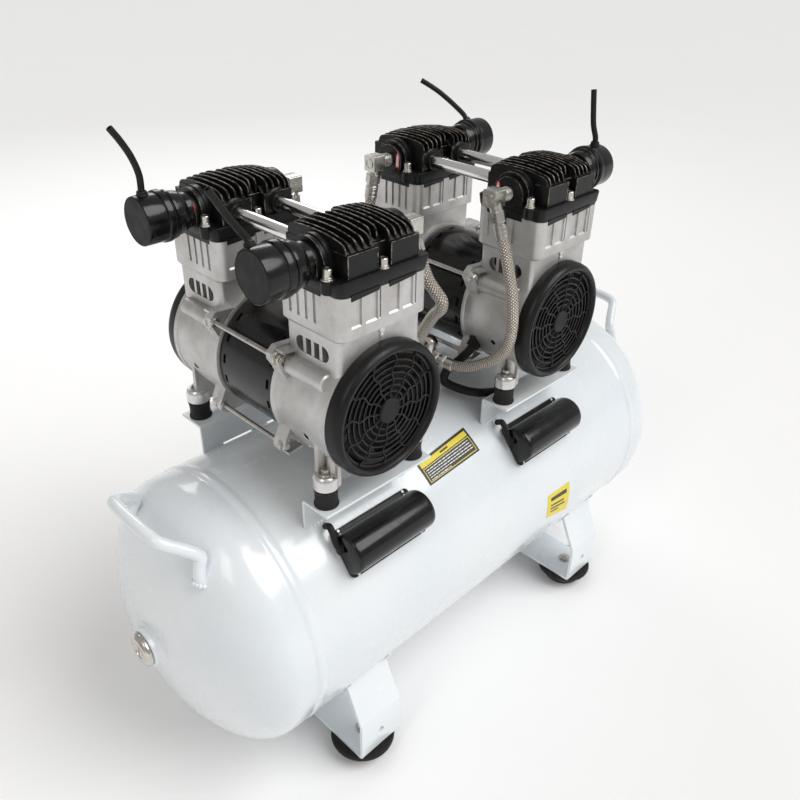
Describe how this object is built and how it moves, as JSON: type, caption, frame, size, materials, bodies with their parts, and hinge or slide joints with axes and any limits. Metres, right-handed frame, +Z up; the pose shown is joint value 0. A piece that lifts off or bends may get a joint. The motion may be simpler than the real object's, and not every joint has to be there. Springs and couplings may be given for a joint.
{
  "type": "air compressor",
  "caption": "Oil-free air compressor: two twin-cylinder motor pumps side by side on a horizontal steel tank, with strap feet and lifting handles.",
  "frame": {"origin": "on the floor, under the middle of the overall length and width; the tank itself is 6.9 mm towards +X because of the plug in its near end", "axes": "+X along the tank to the far end, -Y to the front with the capacitor boxes, +Z up"},
  "size_m": [0.7648, 0.316, 0.6812],
  "materials": {
    "white_paint": "gloss",
    "cast_aluminium": "sand-cast satin",
    "black_paint": "satin",
    "black_plastic": "semi-gloss",
    "rubber": "matt",
    "chrome": "polished",
    "braided_steel": "braided wire",
    "plated_steel": "zinc plated",
    "brass": "machined",
    "red_plastic": "gloss"
  },
  "bodies": {
    "compressor": {"check_valve": "plated_steel", "end_plug": "plated_steel", "far_capacitor_box": "black_plastic", "far_crankcase_front": "cast_aluminium", "far_crankcase_rear": "cast_aluminium", "far_crossover_left": "chrome", "far_crossover_right": "chrome", "far_fan_cover_front": "black_plastic", "far_fan_cover_rear": "black_plastic", "far_filter_front": "black_plastic", "far_filter_rear": "black_plastic", "far_head_front": "black_paint", "far_head_rear": "black_paint", "far_hose_front": "braided_steel", "far_hose_rear": "braided_steel", "far_mount_front_left": "rubber", "far_mount_front_right": "rubber", "far_mount_rear_left": "rubber", "far_mount_rear_right": "rubber", "far_snorkel_front": "rubber", "far_snorkel_rear": "rubber", "far_stator": "black_paint", "foot_far": "white_paint", "foot_near": "white_paint", "handle_far": "white_paint", "handle_near": "white_paint", "near_capacitor_box": "black_plastic", "near_crankcase_front": "cast_aluminium", "near_crankcase_rear": "cast_aluminium", "near_crossover_left": "chrome", "near_crossover_right": "chrome", "near_fan_cover_front": "black_plastic", "near_fan_cover_rear": "black_plastic", "near_filter_front": "black_plastic", "near_filter_rear": "black_plastic", "near_head_front": "black_paint", "near_head_rear": "black_paint", "near_hose_front": "braided_steel", "near_hose_rear": "braided_steel", "near_mount_front_left": "rubber", "near_mount_front_right": "rubber", "near_mount_rear_left": "rubber", "near_mount_rear_right": "rubber", "near_snorkel_front": "rubber", "near_snorkel_rear": "rubber", "near_stator": "black_paint", "outlet_valve": "brass", "pressure_gauge": "plated_steel", "pressure_switch": "black_plastic", "rubber_foot_far_front": "rubber", "rubber_foot_far_rear": "rubber", "rubber_foot_near_front": "rubber", "rubber_foot_near_rear": "rubber", "safety_valve": "brass", "tank": "white_paint"},
    "drain_cock": {"drain_cock": "brass"},
    "far_rotor": {"far_rotor": "plated_steel"},
    "near_rotor": {"near_rotor": "plated_steel"},
    "outlet_lever": {"outlet_lever": "red_plastic"},
    "switch_knob": {"switch_knob": "red_plastic"}
  },
  "joints": [
    {"name": "near_rotor_spin", "type": "hinge", "parent": "compressor", "child": "near_rotor", "pos_m": [-0.1653, 0, 0.455], "axis": [0, 1, 0], "continuous": true},
    {"name": "far_rotor_spin", "type": "hinge", "parent": "compressor", "child": "far_rotor", "pos_m": [0.0965, 0, 0.455], "axis": [0, 1, 0], "continuous": true},
    {"name": "switch_knob_pull", "type": "slide", "parent": "compressor", "child": "switch_knob", "axis": [0, 0, 1], "range_m": [0, 0.006]},
    {"name": "outlet_lever_turn", "type": "hinge", "parent": "compressor", "child": "outlet_lever", "pos_m": [0.2349, 0.0393, 0.398], "axis": [0, 0, 1], "range_deg": [0, 90]},
    {"name": "drain_cock_turn", "type": "hinge", "parent": "compressor", "child": "drain_cock", "pos_m": [0.0069, 0, 0.048], "axis": [0, 0, 1], "range_deg": [0, 360]}
  ]
}
